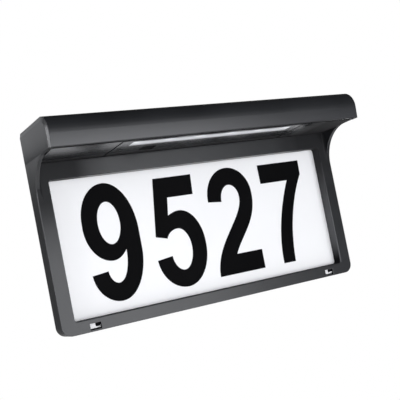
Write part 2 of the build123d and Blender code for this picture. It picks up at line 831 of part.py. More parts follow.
with BuildPart() as door_seal:
    with BuildSketch(Plane.XZ.offset(door_thick)):
        with Locations((battery_x, battery_z)):
            Rectangle(bay_length + 2 * door_seal_wide, bay_side + 2 * door_seal_wide)
            Rectangle(bay_length, bay_side, mode=Mode.SUBTRACT)
    extrude(amount=door_seal_thick)

finish(door_seal, "door_seal")

with BuildPart() as door_screws:
    with BuildSketch(Plane.XZ.offset(door_thick / 2)):
        with Locations(*door_screw_spots):
            Circle(screw_head_radius)
    extrude(amount=-door_thick / 2)
    with BuildSketch(Plane.XZ.offset(door_thick / 2)):
        with Locations(*door_screw_spots):
            Circle(screw_radius)
    extrude(amount=door_screw_length)
    with BuildSketch(Plane.XZ):
        with Locations(*door_screw_spots):
            Rectangle(screw_head_radius, screw_head_radius / 4)
            Rectangle(screw_head_radius / 4, screw_head_radius)
    extrude(amount=door_thick / 3, mode=Mode.SUBTRACT)

finish(door_screws, "door_screws")

# -------------------------------------------------------- cell and contacts
bay_left = battery_x - bay_length / 2
bay_right = battery_x + bay_length / 2
nub_left = bay_left + contact_thick
body_left = nub_left + cell_nub
with BuildPart() as battery:
    with BuildSketch(Plane.YZ.offset(body_left)):
        with Locations((cell_y, battery_z)):
            Circle(cell_radius)
    extrude(amount=cell_body)
    fillet(battery.edges(), cell_radius / 12)
    with BuildSketch(Plane.YZ.offset(nub_left)):
        with Locations((cell_y, battery_z)):
            Circle(cell_nub_radius)
    extrude(amount=cell_nub)

finish(battery, "battery")

with BuildPart() as contact_positive:
    with BuildSketch(Plane.YZ.offset(bay_left)):
        with Locations((cell_y, battery_z)):
            Rectangle(contact_size, contact_size)
    extrude(amount=contact_thick)

finish(contact_positive, "contact_positive")

with BuildPart() as contact_negative:
    # plate with a leaf bent out of it that presses on the cell
    body_right = body_left + cell_body
    leaf_top_z = battery_z + contact_size / 2
    with BuildSketch(Plane.YZ.offset(bay_right)):
        with Locations((cell_y, battery_z)):
            Rectangle(contact_size, contact_size)
    extrude(amount=-contact_thick)
    with BuildSketch(Plane.XZ.offset(-cell_y)):
        with BuildLine():
            Polyline(
                (bay_right - contact_thick, leaf_top_z),
                (body_right, battery_z + contact_thick),
                (body_right, battery_z - contact_thick),
                (body_right + contact_thick, battery_z - contact_thick),
                (bay_right - contact_thick, leaf_top_z - 2 * contact_thick),
                close=True,
            )
        make_face()
    extrude(amount=contact_size / 4, both=True)

finish(contact_negative, "contact_negative")

# --------------------------------------------------------------- number plate
with BuildPart() as number_plate:
    plate_bottom_z = opening_bottom_z - plate_lap
    with BuildSketch(Plane.XZ.offset(-plate_front_y)):
        with Locations((0, (plate_bottom_z + hinge_z) / 2)):
            Rectangle(2 * plate_half, hinge_z - plate_bottom_z)
    extrude(amount=-plate_thickness)
    # rounded upper edge that turns in place, with a pin at each end
    with BuildSketch(Plane.YZ):
        with Locations((hinge_y, hinge_z)):
            Circle(plate_thickness / 2)
    extrude(amount=plate_half + pin_length, both=True)
    # loop arms behind the catch windows
    with BuildSketch(Plane.XZ.offset(-plate_back_y)):
        for x in mirrored(window_x):
            tab_wide = arm_right - arm_left
            tab_tall = plate_bottom_z - bottom_z - arm_height
            with Locations((x + arm_left + tab_wide / 2, plate_bottom_z - tab_tall / 2)):
                Rectangle(tab_wide, tab_tall)
    extrude(amount=plate_thickness)
    with BuildSketch(Plane.XZ.offset(-plate_front_y)):
        for x in mirrored(window_x):
            with Locations((x + arm_left + arm_stem_wide / 2, bottom_z + arm_height + arm_stem_tall / 2)):
                Rectangle(arm_stem_wide, arm_stem_tall)
            with Locations((x + arm_left + tab_wide / 2, bottom_z + arm_height + arm_bar_tall / 2)):
                Rectangle(tab_wide, arm_bar_tall)
    extrude(amount=arm_reach)

finish(number_plate, "number_plate")


# -------------------------------------------------------------------- numerals
# Each outline is drawn on a grid on which a round numeral is 101.4 units tall. x runs from the
# numeral's middle and y up from the baseline.
numeral_height = opening_height - baseline_rise - numeral_headroom
grid = numeral_height / 101.4


def spot(x, y):
    """A point of the drawing grid, at the real size."""
    return (x * grid, y * grid)


def bow(x, y, wide, tall, start, end):
    """Part of an oval about (x, y), from one angle to another in degrees."""
    return EllipticalCenterArc(spot(x, y), wide * grid, tall * grid, start, arc_size=end - start)


def outline(*pieces):
    """Join arcs and curves end to end with straight edges and close the last onto the first."""
    for piece, following in zip(pieces, pieces[1:] + pieces[:1]):
        gap = following @ 0 - piece @ 1
        if gap.length > 0.001:
            Line(piece @ 1, following @ 0)


def rise(height, semi_axis):
    """Angle at which an oval with this semi-axis is this far above its middle."""
    return degrees(asin(height / semi_axis))


def draw_nine():
    bowl_drop = 26.2
    stem_wide = 20.4 * sqrt(1 - (bowl_drop / 34.2) ** 2) - 1.2
    with BuildLine() as drawn:
        outline(
            bow(-1.4, 56.0, 26.2, 42.8, 90, 0),
            bow(-1.4, 40.5, 26.2, 43.1, 0, -90),
            bow(-1.4, 24.4, 23.2, 27.0, 270, 180 + rise(2.0, 27.0)),
            bow(-1.8, 25.4, 8.2, 12.4, 180 + rise(1.4, 12.4), 270),
            bow(-1.8, 66.4 - bowl_drop, stem_wide, 27.2, 270, 360),
            bow(-3.0, 66.4, 20.4, 34.2, -rise(bowl_drop, 34.2), -90),
            bow(-3.0, 62.4, 22.7, 30.2, 270, 180),
            bow(-1.4, 66.4, 24.2, 32.4, 180, 90),
        )
    make_face(drawn.edges())
    with Locations(spot(-1.4, 64.4)):
        Ellipse(10.2 * grid, 18.3 * grid, mode=Mode.SUBTRACT)


def draw_five():
    with BuildLine() as drawn:
        top_bar = Polyline(spot(-16.0, 96.8), spot(22.6, 96.8), spot(21.4, 78.6), spot(-5.0, 78.6))
        outline(
            top_bar,
            bow(4.0, 34.4, 25.6, 31.4, 180 - rise(28.0, 31.4), 90),
            bow(4.0, 34.4, 21.4, 31.4, 90, 0),
            bow(0.0, 32.4, 25.4, 35.0, 0, -90),
            bow(0.0, 26.4, 25.6, 29.0, 270, 180 + rise(1.6, 29.0)),
            bow(-0.6, 28.4, 10.2, 15.6, 180 + rise(1.8, 15.6), 270),
            bow(-0.6, 32.4, 11.2, 19.6, 270, 360),
            bow(-0.6, 32.4, 11.2, 17.6, 0, 90),
            bow(-0.6, 38.8, 12.4, 11.2, 90, 180 - rise(3.8, 11.2)),
            Line(spot(-23.4, 45.4), spot(-16.0, 96.8)),
        )
    make_face(drawn.edges())


def draw_two():
    with BuildLine() as drawn:
        outline(
            bow(0.8, 69.4, 24.4, 29.0, 180 + rise(0.7, 29.0), 90),
            bow(1.6, 72.4, 23.6, 26.0, 90, 0),
            Bezier(spot(25.2, 72.4), spot(25.9, 46.0), spot(6.0, 34.2), spot(-3.4, 17.4)),
            Polyline(spot(24.6, 17.4), spot(24.6, -0.6), spot(-25.4, -0.6)),
            Bezier(spot(-25.4, -0.6), spot(-24.7, 31.1), spot(10.8, 49.0), spot(10.8, 70.0)),
            bow(1.0, 70.0, 9.8, 12.3, 0, 90),
            bow(1.0, 67.4, 10.4, 14.9, 90, 180),
        )
    make_face(drawn.edges())


def draw_seven():
    with BuildLine() as drawn:
        outline(
            Polyline(spot(-24.2, 78.7), spot(-24.4, 96.8), spot(24.8, 96.8), spot(24.4, 83.0)),
            Bezier(spot(24.4, 83.0), spot(3.9, 51.5), spot(-0.4, 18.8), spot(-1.0, -0.5)),
            Bezier(spot(-14.8, -0.5), spot(-15.1, 14.7), spot(-12.1, 42.5), spot(7.2, 78.7)),
        )
    make_face(drawn.edges())


baseline_z = opening_bottom_z + baseline_rise
numerals = (
    ("digit_9", draw_nine, nine_x),
    ("digit_5", draw_five, five_x),
    ("digit_2", draw_two, two_x),
    ("digit_7", draw_seven, seven_x),
)
for name, draw, numeral_x in numerals:
    numeral_plane = Plane(origin=(numeral_x, plate_front_y, baseline_z), x_dir=(1, 0, 0), z_dir=(0, -1, 0))
    with BuildPart() as numeral:
        with BuildSketch(numeral_plane):
            draw()
        extrude(amount=numeral_thickness)
    finish(numeral, name)

# ----------------------------------------------------------------- solar panel
backing_z = recess_z + tape_thick
cells_z = backing_z + backing_thick
laminate_z = cells_z + cell_thick
with BuildPart() as solar_tape:
    with BuildSketch(Plane.XY.offset(recess_z)):
        with Locations((0, solar_y)):
            Rectangle(solar_width, solar_depth)
            Rectangle(solar_width - 2 * tape_wide, solar_depth - 2 * tape_wide, mode=Mode.SUBTRACT)
    extrude(amount=tape_thick)

finish(solar_tape, "solar_tape")

with BuildPart() as solar_backing:
    with BuildSketch(Plane.XY.offset(backing_z)):
        with Locations((0, solar_y)):
            Rectangle(solar_width, solar_depth)
    extrude(amount=backing_thick)

finish(solar_backing, "solar_backing")

with BuildPart() as solar_cells:
    with BuildSketch(Plane.XY.offset(cells_z)):
        with Locations((0, solar_y)):
            with GridLocations(solar_cell_pitch, solar_cell_depth, solar_cell_count, 1):
                Rectangle(solar_cell_pitch - solar_cell_slit, solar_cell_depth)
    extrude(amount=cell_thick)

finish(solar_cells, "solar_cells")

with BuildPart() as solar_cover:
    with BuildSketch(Plane.XY.offset(laminate_z)):
        with Locations((0, solar_y)):
            Rectangle(solar_width, solar_depth)
    extrude(amount=laminate_thick)

finish(solar_cover, "solar_cover")

# ------------------------------------------------------------- internal leads
with BuildPart() as lead_grommet:
    # flanged rubber ring under the roof
    with BuildSketch(Plane.XY.offset(recess_z)):
        with Locations((solar_lead_x, solar_y)):
            Circle(grommet_hole)
    extrude(amount=roof_z - recess_z)
    with BuildSketch(Plane.XY.offset(roof_z)):
        with Locations((solar_lead_x, solar_y)):
            Circle(grommet_flange)
    extrude(amount=-face_wall / 2)
    with BuildSketch(Plane.XY.offset(recess_z)):
        with Locations((solar_lead_x, solar_y)):
            Circle(lead_radius + pin_clearance)
    extrude(amount=-roof_wall, mode=Mode.SUBTRACT)

finish(lead_grommet, "lead_grommet")


def bend_radii(points):
    """The largest arcs that the runs either side of each corner leave room for."""
    radii = []
    for before, corner, after in zip(points, points[1:], points[2:]):
        run_in = corner - before
        run_out = after - corner
        turn = run_in.get_angle(run_out)
        room = 0.45 * min(run_in.length, run_out.length)
        radii.append(room / tan(radians(turn / 2)))
    return radii


def make_lead(points):
    """A round lead along straight runs joined by arcs, and its length."""
    radii = bend_radii(points)
    with BuildPart() as lead:
        with BuildLine() as route:
            FilletPolyline(*points, radius=radii)
        with BuildSketch(Plane(origin=points[0], z_dir=points[1] - points[0])):
            Circle(lead_radius)
        sweep(path=route.wires()[0])
    print("lead", [round(radius, 1) for radius in radii], round(route.wires()[0].length, 1), "mm")
    return lead


solar_plug = in_floor_plane(board_left, solar_connector_back, connector_mid)
solar_route = [
    Vector(solar_lead_x, solar_y, backing_z),
    Vector(solar_lead_x, solar_y, backing_z - solar_lead_drop),
    Vector(solar_lead_x + solar_lead_run, solar_plug.Y, backing_z - solar_lead_drop + lead_radius / 2),
    solar_plug - Vector(solar_lead_end, 0, 0),
    solar_plug,
]
solar_lead = make_lead(solar_route)
finish(solar_lead, "solar_lead")

led_lead_lift = led_board_lift + led_board_thick + lead_radius
led_lead_turn = board_left - led_lead_end
led_route = [
    in_floor_plane(led_lead_start - strip_length / 2, -strip_back, led_lead_lift),
    in_floor_plane(led_lead_turn, -strip_back, led_lead_lift),
    in_floor_plane(led_lead_turn, led_connector_back, connector_mid),
    in_floor_plane(board_left, led_connector_back, connector_mid),
]
led_lead = make_lead(led_route)
finish(led_lead, "led_lead")

positive_end = Vector(bay_left, cell_y - lead_drop, battery_z)
negative_end = Vector(bay_right, cell_y - lead_drop, battery_z)
positive_plug = in_floor_plane(board_right, battery_connector_backs[1], connector_mid)
negative_plug = in_floor_plane(board_right, battery_connector_backs[0], connector_mid)
positive_route = [
    positive_end,
    positive_end - Vector(battery_lead_start, 0, 0),
    positive_plug + Vector(battery_lead_end, 0, 0),
    positive_plug,
]
return_corner = negative_end + Vector(return_lead_start, -return_lead_forward, -return_lead_sag)
negative_route = [
    negative_end,
    negative_end + Vector(return_lead_start, 0, 0),
    return_corner,
    return_corner + Vector(-return_lead_run, return_lead_sag, 0),
    negative_plug + Vector(return_lead_end, 0, 0),
    negative_plug,
]
positive_lead = make_lead(positive_route)
negative_lead = make_lead(negative_route)
with BuildPart() as battery_leads:
    add(positive_lead.part)
    add(negative_lead.part)
finish(battery_leads, "battery_leads")
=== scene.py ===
import math

import bpy
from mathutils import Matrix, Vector


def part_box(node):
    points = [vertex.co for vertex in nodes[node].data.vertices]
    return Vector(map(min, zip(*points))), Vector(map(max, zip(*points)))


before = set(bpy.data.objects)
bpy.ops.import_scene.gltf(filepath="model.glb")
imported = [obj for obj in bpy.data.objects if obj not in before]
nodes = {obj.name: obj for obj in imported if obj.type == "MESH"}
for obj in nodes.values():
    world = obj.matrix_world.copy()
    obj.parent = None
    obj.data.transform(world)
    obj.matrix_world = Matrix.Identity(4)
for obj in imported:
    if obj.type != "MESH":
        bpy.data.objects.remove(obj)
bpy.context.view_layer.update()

scene = bpy.context.scene
scene.view_settings.view_transform = "Standard"


# ------------------------------------------------------------------ node tools
class Tree:
    """A node tree with a few short cuts."""

    def __init__(self, tree):
        self.tree = tree

    def add(self, kind, **values):
        node = self.tree.nodes.new(kind)
        for key, value in values.items():
            setattr(node, key, value)
        return node

    def link(self, a, b):
        self.tree.links.new(a, b)

    def maths(self, how, a, b=0.0):
        node = self.add("ShaderNodeMath", operation=how)
        for socket, value in zip(node.inputs, (a, b)):
            if isinstance(value, (int, float)):
                socket.default_value = value
            else:
                self.link(value, socket)
        return node.outputs[0]

    def span(self, value, low, high, at=0.3, to=0.7, ease="LINEAR"):
        """low where the value is at or under "at", high where it is at or over "to"."""
        node = self.add("ShaderNodeMapRange", interpolation_type=ease)
        node.inputs["From Min"].default_value = at
        node.inputs["From Max"].default_value = to
        node.inputs["To Min"].default_value = low
        node.inputs["To Max"].default_value = high
        self.link(value, node.inputs["Value"])
        return node.outputs["Result"]

    def product(self, first, *others):
        for other in others:
            first = self.maths("MULTIPLY", first, other)
        return first

    def most(self, first, *others):
        for other in others:
            first = self.maths("MAXIMUM", first, other)
        return first

    def weighted(self, a, share_a, b, share_b):
        return self.maths("ADD", self.product(a, share_a), self.product(b, share_b))

    def below(self, value, limit):
        return self.maths("LESS_THAN", value, limit)

    def above(self, value, limit):
        return self.maths("GREATER_THAN", value, limit)

    def off(self, value, middle):
        """Distance of a value from a middle, to either side."""
        return self.maths("ABSOLUTE", self.maths("SUBTRACT", value, middle))


class Shader(Tree):
    """A node material."""

    def __init__(self, name):
        self.mat = bpy.data.materials.new(name)
        self.mat.use_nodes = True
        super().__init__(self.mat.node_tree)
        self.bsdf = self.tree.nodes["Principled BSDF"]
        self.out = self.tree.nodes["Material Output"]
        self.place = None

    def coords(self):
        if self.place is None:
            self.place = self.add("ShaderNodeTexCoord").outputs["Object"]
        return self.place

    def split(self):
        node = self.add("ShaderNodeSeparateXYZ")
        self.link(self.coords(), node.inputs["Vector"])
        return node.outputs

    def stretched(self, scale):
        node = self.add("ShaderNodeMapping")
        node.inputs["Scale"].default_value = scale
        self.link(self.coords(), node.inputs["Vector"])
        return node.outputs["Vector"]

    def noise(self, scale, detail=3.0, rough=0.5, vector=None):
        node = self.add("ShaderNodeTexNoise")
        node.inputs["Scale"].default_value = scale
        node.inputs["Detail"].default_value = detail
        node.inputs["Roughness"].default_value = rough
        self.link(vector or self.coords(), node.inputs["Vector"])
        return node.outputs["Fac"]

    def voronoi(self, scale):
        node = self.add("ShaderNodeTexVoronoi")
        node.inputs["Scale"].default_value = scale
        self.link(self.coords(), node.inputs["Vector"])
        return node.outputs["Distance"]

    def ramp(self, value, stops):
        node = self.add("ShaderNodeValToRGB")
        ramp = node.color_ramp
        while len(ramp.elements) < len(stops):
            ramp.elements.new(0.5)
        for element, (at, colour) in zip(ramp.elements, stops):
            element.position = at
            element.color = (*colour, 1.0)
        self.link(value, node.inputs["Fac"])
        return node.outputs["Color"]

    def blend(self, mask, colour, other):
        node = self.add("ShaderNodeMix", data_type="RGBA")
        self.link(mask, node.inputs["Factor"])
        self.link(colour, node.inputs["A"])
        node.inputs["B"].default_value = (*other, 1.0)
        return node.outputs["Result"]

    def give(self, socket, value):
        """Set a socket of the shader: plain numbers and colours directly, anything else by a link."""
        if isinstance(value, tuple):
            self.bsdf.inputs[socket].default_value = (*value, 1.0)
        elif isinstance(value, float):
            self.bsdf.inputs[socket].default_value = value
        else:
            self.link(value, self.bsdf.inputs[socket])

    def colour(self, value):
        self.give("Base Color", value)

    def rough(self, value):
        self.give("Roughness", value)

    def bump(self, *layers, start=None):
        """Stack bumps, each (height, distance in metres, strength), on a normal to start from."""
        previous = start
        for height, distance, strength in layers:
            node = self.add("ShaderNodeBump")
            node.inputs["Distance"].default_value = distance
            node.inputs["Strength"].default_value = strength
            self.link(height, node.inputs["Height"])
            if previous is not None:
                self.link(previous, node.inputs["Normal"])
            previous = node.outputs["Normal"]
        self.link(previous, self.bsdf.inputs["Normal"])


# -------------------------------------------------- masks of the black plastic
# Places are in metres from the middle of the wall mount: x to the right, y to the back, z up.
# the pale black painted where light falls: on the hood's front near its lip, and on the opening's rim and
# side walls
painted_light_black = (0.050, 0.051, 0.056)
# the near-black painted as shade in recesses and corners, and as grime along the hood floor's seams
shade_and_grime_black = (0.004, 0.004, 0.005)
wall_x = 0.1405  # the opening's side walls, to either side
wall_front_y = -0.0146


def crowned(s):
    """The hood's faces are very slightly crowned from the lip to the top."""
    lip_z = -0.0006
    top_z = 0.026
    middle_z = 0.009
    radius = 0.12
    z = s.maths("MINIMUM", s.most(s.split()["Z"], lip_z), top_z)
    off = s.maths("SUBTRACT", z, middle_z)
    return s.product(off, off, -1.0 / (2 * radius))


def dished(s):
    """The floor of the hood is very slightly dished."""
    slope = 0.08
    return s.product(s.split()["Y"], slope)


def painted_lip_and_rim_light(s):
    """Painted light: the hood's front is painted paler towards its lip, as light from below would make it,
    and the opening's rim and side walls are painted paler as highlights.
    """
    hood_front_y = -0.0655
    lip_z = -0.001
    faded_z = 0.014
    rim_wide = 0.0006
    rim_back_y = -0.0143
    rim_mid_z = -0.0825
    rim_half_tall = 0.0505
    wall_deep = 0.0014
    wall_mid_z = -0.085
    wall_even = 0.018  # above and below its middle the wall is this far even, and then fades
    wall_faded = 0.048
    place = s.split()
    hood = s.product(s.span(place["Z"], 0.6, 0.0, lip_z, faded_z), s.below(place["Y"], hood_front_y))
    off_wall = s.off(s.maths("ABSOLUTE", place["X"]), wall_x)
    rim = s.product(
        s.below(off_wall, rim_wide),
        s.below(place["Y"], rim_back_y),
        s.below(s.off(place["Z"], rim_mid_z), rim_half_tall),
    )
    wall = s.product(
        s.below(off_wall, wall_deep),
        s.above(place["Y"], wall_front_y),
        s.span(s.off(place["Z"], wall_mid_z), 0.8, 0.0, wall_even, wall_faded),
    )
    return s.most(hood, rim, wall)


def rough_painted_shade(s):
    """Some faces are dull and painted dark as shade: behind the catch windows, the opening's lower wall and
    the lower end of its right wall, the lip's underside, and the two corners under the hood, which carry a
    painted shadow of the cheeks."""
    window_z = -0.1394
    window_half_tall = 0.0042
    windows_x = 0.1385
    bar_skin_y = -0.0131
    bar_front_y = -0.0149
    bar_top_z = -0.1325
    bar_x = 0.1395
    end_z = (-0.130, -0.112)
    end_x = (0.1388, 0.1412)
    lip_y = -0.0595
    lip_z = -0.0002
    corner_x = (0.086, 0.116)
    corner_z = (-0.085, -0.035)
    corner_front_y = -0.0172
    cheek_x = 0.1512
    place = s.split()
    out = s.maths("ABSOLUTE", place["X"])
    behind = s.product(
        s.above(place["Y"], bar_skin_y),
        s.below(s.off(place["Z"], window_z), window_half_tall),
        s.below(out, windows_x),
    )
    wall = s.product(s.above(place["Y"], bar_front_y), s.below(place["Z"], bar_top_z), s.below(out, bar_x))
    end = s.product(
        s.span(place["Z"], 1.0, 0.0, *end_z),
        s.above(place["X"], end_x[0]),
        s.below(place["X"], end_x[1]),
        s.above(place["Y"], wall_front_y),
    )
    # painted shade: a dark line under the lip, and a painted shadow of the cheeks in the two corners under
    # the hood
    lip = s.product(s.below(place["Y"], lip_y), s.below(place["Z"], lip_z), 0.6)
    corner = s.product(s.span(out, 0.0, 0.62, *corner_x), s.span(place["Z"], 0.0, 1.0, *corner_z))
    bezel = s.product(s.above(place["Y"], corner_front_y), s.below(out, cheek_x))
    return s.most(lip, behind, wall, end, s.product(corner, bezel))


def shade_and_seam_grime(s):
    """Grime dulls and darkens the floor of the hood along its seams, and painted shade darkens and dulls it
    towards the crease and at its right-hand end.
    """
    crease_y = (-0.030, -0.0165)
    right_end_x = (0.090, 0.120)
    side_seam_x = 0.0901
    side_seam_half_wide = 0.0009
    side_seam_front_y = -0.0618
    front_seam_y = -0.0613
    front_seam_half_wide = 0.0006
    front_seam_half_long = 0.091
    place = s.split()
    out = s.maths("ABSOLUTE", place["X"])
    # painted shade: darker and duller towards the crease and at the right-hand end
    crease = s.span(place["Y"], 0.0, 1.0, *crease_y)
    right_end = s.span(place["X"], 0.0, 0.85, *right_end_x)
    at_side = s.below(s.off(out, side_seam_x), side_seam_half_wide)
    side_seam = s.product(at_side, s.above(place["Y"], side_seam_front_y))
    at_front = s.below(s.off(place["Y"], front_seam_y), front_seam_half_wide)
    front_seam = s.product(at_front, s.below(out, front_seam_half_long))
    return s.most(crease, right_end, side_seam, front_seam)


# ------------------------------------------------------------------- materials
def plastic(
    name, dark, light, rough_low, rough_high, grain=2600.0, depth=0.00002, strength=0.35, blotch=14.0,
    form=None, painted_light_mask=None, matte=None, edge=0.0, wear_and_glint=0.0,
):
    """Moulded plastic: a fine spark-eroded grain, slow changes of tone and gloss, and pale edges, partly wear
    and partly a painted highlight.

    form is a height that shapes the face; the mask of painted light paints it paler, as if lit; the dulling
    mask makes it dull and paints it dark with painted shade and grime;
    edge is the radius in metres to which its edges look rounded, and the edge paleness is how pale they are
    painted.
    """
    s = Shader(name)
    base = [(form(s), 1.0, 1.0)] if form else []
    slow = s.noise(blotch, 3.0, 0.55)
    fine = s.noise(grain, 2.0, 0.6)
    colour = s.ramp(s.weighted(slow, 0.7, fine, 0.3), [(0.35, dark), (0.65, light)])
    gloss = s.span(s.weighted(slow, 0.5, fine, 0.5), rough_low, rough_high)
    # painted light: where the mask says, the colour is painted paler, as if lit
    if painted_light_mask is not None:
        colour = s.blend(painted_light_mask(s), colour, painted_light_black)
    rounded = None
    if edge:
        palest_turn = 0.86  # cosines of the turn from the face's normal: palest, and not pale
        plain_turn = 0.995
        rounding = s.add("ShaderNodeBevel", samples=8)
        rounding.inputs["Radius"].default_value = edge
        rounded = rounding.outputs["Normal"]
        turn = s.add("ShaderNodeVectorMath", operation="DOT_PRODUCT")
        s.link(rounded, turn.inputs[0])
        s.link(s.add("ShaderNodeNewGeometry").outputs["Normal"], turn.inputs[1])
        # the edges are painted paler: partly wear, and partly a painted highlight along them
        rub_and_glint = s.product(s.span(turn.outputs["Value"], 1.0, 0.0, palest_turn, plain_turn), s.span(slow, 0.5, 1.0))
        colour = s.blend(rub_and_glint, colour, (wear_and_glint, wear_and_glint, wear_and_glint * 1.06))
    # painted shade and grime: where the mask says, the colour is painted near-black, and the face is dull
    # with less shine
    if matte is not None:
        mask = matte(s)
        colour = s.blend(mask, colour, shade_and_grime_black)
        gloss = s.most(gloss, s.product(mask, 0.92))
        s.give("Specular IOR Level", s.span(mask, 0.5, 0.12, 0.0, 1.0))
    s.colour(colour)
    s.rough(gloss)
    coarse = s.noise(grain * 0.45, 2.0, 0.5)
    s.bump(*base, (coarse, depth * 2, strength * 0.5), (fine, depth, strength), start=rounded)
    return s


def metal(name, dark, light, rough_low, rough_high):
    """Plated or plain metal with fine drawn lines."""
    s = Shader(name)
    lines = s.noise(1.0, 3.0, 0.6, s.stretched((900.0, 900.0, 60.0)))
    s.colour(s.ramp(lines, [(0.3, dark), (0.7, light)]))
    s.rough(s.span(lines, rough_low, rough_high))
    s.give("Metallic", 1.0)
    s.bump((lines, 0.00002, 0.3))
    return s


def board(name, mask_dark, mask_light):
    """Solder mask with the traces showing through as slightly raised, lighter lines."""
    s = Shader(name)
    runs = s.add("ShaderNodeTexBrick", offset=0.37, squash=1.4)
    runs.inputs["Scale"].default_value = 260.0
    runs.inputs["Mortar Size"].default_value = 0.06
    runs.inputs["Brick Width"].default_value = 1.3
    runs.inputs["Row Height"].default_value = 0.5
    s.link(s.coords(), runs.inputs["Vector"])
    trace = s.above(runs.outputs["Fac"], 0.5)
    wash = s.noise(40.0)
    s.colour(s.ramp(s.weighted(trace, 0.45, wash, 0.5), [(0.2, mask_dark), (0.7, mask_light)]))
    s.rough(s.span(wash, 0.25, 0.4))
    s.bump((trace, 0.00003, 0.6))
    return s


def dress(shader, *names):
    for name in names:
        obj = nodes[name]
        obj.data.materials.clear()
        obj.data.materials.append(shader.mat)


# the outside of the sign
housing = plastic(
    "housing_black", (0.014, 0.0148, 0.0165), (0.021, 0.022, 0.0245), 0.27, 0.35, depth=0.00001,
    strength=0.25, form=crowned, painted_light_mask=painted_lip_and_rim_light, matte=rough_painted_shade, edge=0.0007, wear_and_glint=0.15,
)
dress(housing, "front_housing")
underside = plastic(
    "underside_black", (0.009, 0.0095, 0.011), (0.013, 0.0137, 0.0155), 0.24, 0.26, depth=0.000003,
    strength=0.12, form=dished, matte=shade_and_seam_grime,
)
dress(underside, "hood_underside")
panel = plastic(
    "lamp_panel_black", (0.007, 0.0075, 0.009), (0.011, 0.0117, 0.0135), 0.20, 0.22, depth=0.000003,
    strength=0.12, form=dished, matte=shade_and_seam_grime,
)
dress(panel, "lamp_cover")
for polished in (underside, panel):
    polished.give("IOR", 1.9)
button = plastic("button_black", (0.003, 0.003, 0.0035), (0.005, 0.005, 0.0055), 0.5, 0.62)
button.give("Specular IOR Level", 0.08)
dress(button, "mode_button")
rear = plastic(
    "rear_black", (0.026, 0.027, 0.029), (0.040, 0.041, 0.044), 0.38, 0.52, grain=1800.0, depth=0.00003,
    edge=0.0005, wear_and_glint=0.16,
)
dress(rear, "rear_cover", "battery_door")
plate = plastic(
    "plate_white", (0.91, 0.91, 0.92), (0.94, 0.94, 0.95), 0.30, 0.38, grain=900.0, depth=0.000006,
    strength=0.15,
)
plate.give("Specular IOR Level", 0.2)
dress(plate, "number_plate")
vinyl = plastic(
    "numeral_black", (0.0025, 0.0025, 0.003), (0.0045, 0.0045, 0.005), 0.42, 0.55, grain=1500.0,
    depth=0.000008, strength=0.2,
)
vinyl.give("Specular IOR Level", 0.02)
dress(vinyl, "digit_9", "digit_5", "digit_2", "digit_7")

# screws, contacts, rubber and tape
steel = metal("screw_steel", (0.45, 0.45, 0.46), (0.65, 0.65, 0.66), 0.25, 0.4)
dress(steel, "rear_cover_screws", "door_screws", "board_screws")
blackened = metal("screw_black", (0.008, 0.008, 0.009), (0.02, 0.02, 0.022), 0.3, 0.5)
dress(blackened, "lamp_cover_screws")
nickel = metal("contact_nickel", (0.55, 0.53, 0.48), (0.78, 0.76, 0.70), 0.15, 0.3)
dress(nickel, "contact_positive", "contact_negative")
rubber = plastic(
    "seal_rubber", (0.012, 0.012, 0.012), (0.022, 0.022, 0.022), 0.6, 0.8, grain=3000.0, depth=0.00003,
)
dress(rubber, "rear_seal", "door_seal", "button_seal", "lead_grommet")
tape = plastic(
    "tape_grey", (0.03, 0.03, 0.03), (0.07, 0.07, 0.07), 0.8, 0.95, grain=1200.0, depth=0.00008, strength=0.7,
)
dress(tape, "solar_tape")

# small parts inside: name, darkest and lightest tone, smoothest and roughest, node
for name, dark, light, rough_low, rough_high, node_name in (
    ("switch_black", (0.015, 0.015, 0.015), (0.03, 0.03, 0.03), 0.4, 0.55, "mode_switch"),
    ("plunger_tan", (0.30, 0.20, 0.11), (0.42, 0.30, 0.17), 0.35, 0.5, "switch_plunger"),
    ("component_black", (0.012, 0.012, 0.013), (0.03, 0.03, 0.032), 0.35, 0.6, "board_components"),
    ("solar_backing_white", (0.50, 0.51, 0.51), (0.60, 0.61, 0.61), 0.4, 0.6, "solar_backing"),
    ("lead_black", (0.010, 0.010, 0.010), (0.018, 0.018, 0.018), 0.35, 0.45, "solar_lead"),
    ("lead_white", (0.60, 0.60, 0.57), (0.70, 0.70, 0.67), 0.35, 0.45, "led_lead"),
    ("lead_red", (0.30, 0.015, 0.010), (0.40, 0.025, 0.018), 0.35, 0.45, "battery_leads"),
):
    dress(plastic(name, dark, light, rough_low, rough_high), node_name)
dress(board("board_green", (0.006, 0.055, 0.022), (0.020, 0.150, 0.060)), "control_board")
dress(board("board_white", (0.66, 0.67, 0.66), (0.80, 0.81, 0.80)), "led_board")

# the lit strip: frosted, brightest along its middle, with a short dash of light at each lamp
lamp_pitch = 0.030
dash_line = 0.26  # where the dashes lie, as a share of the strip's width from its front edge
dash_glow = 0.45
frosted = Shader("strip_frosted")
grain = frosted.noise(1800.0, 2.0, 0.6)
strip_low, strip_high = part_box("led_diffuser")
place = frosted.split()
across = frosted.span(place["Y"], 0.0, 1.0, strip_low[1], strip_high[1])
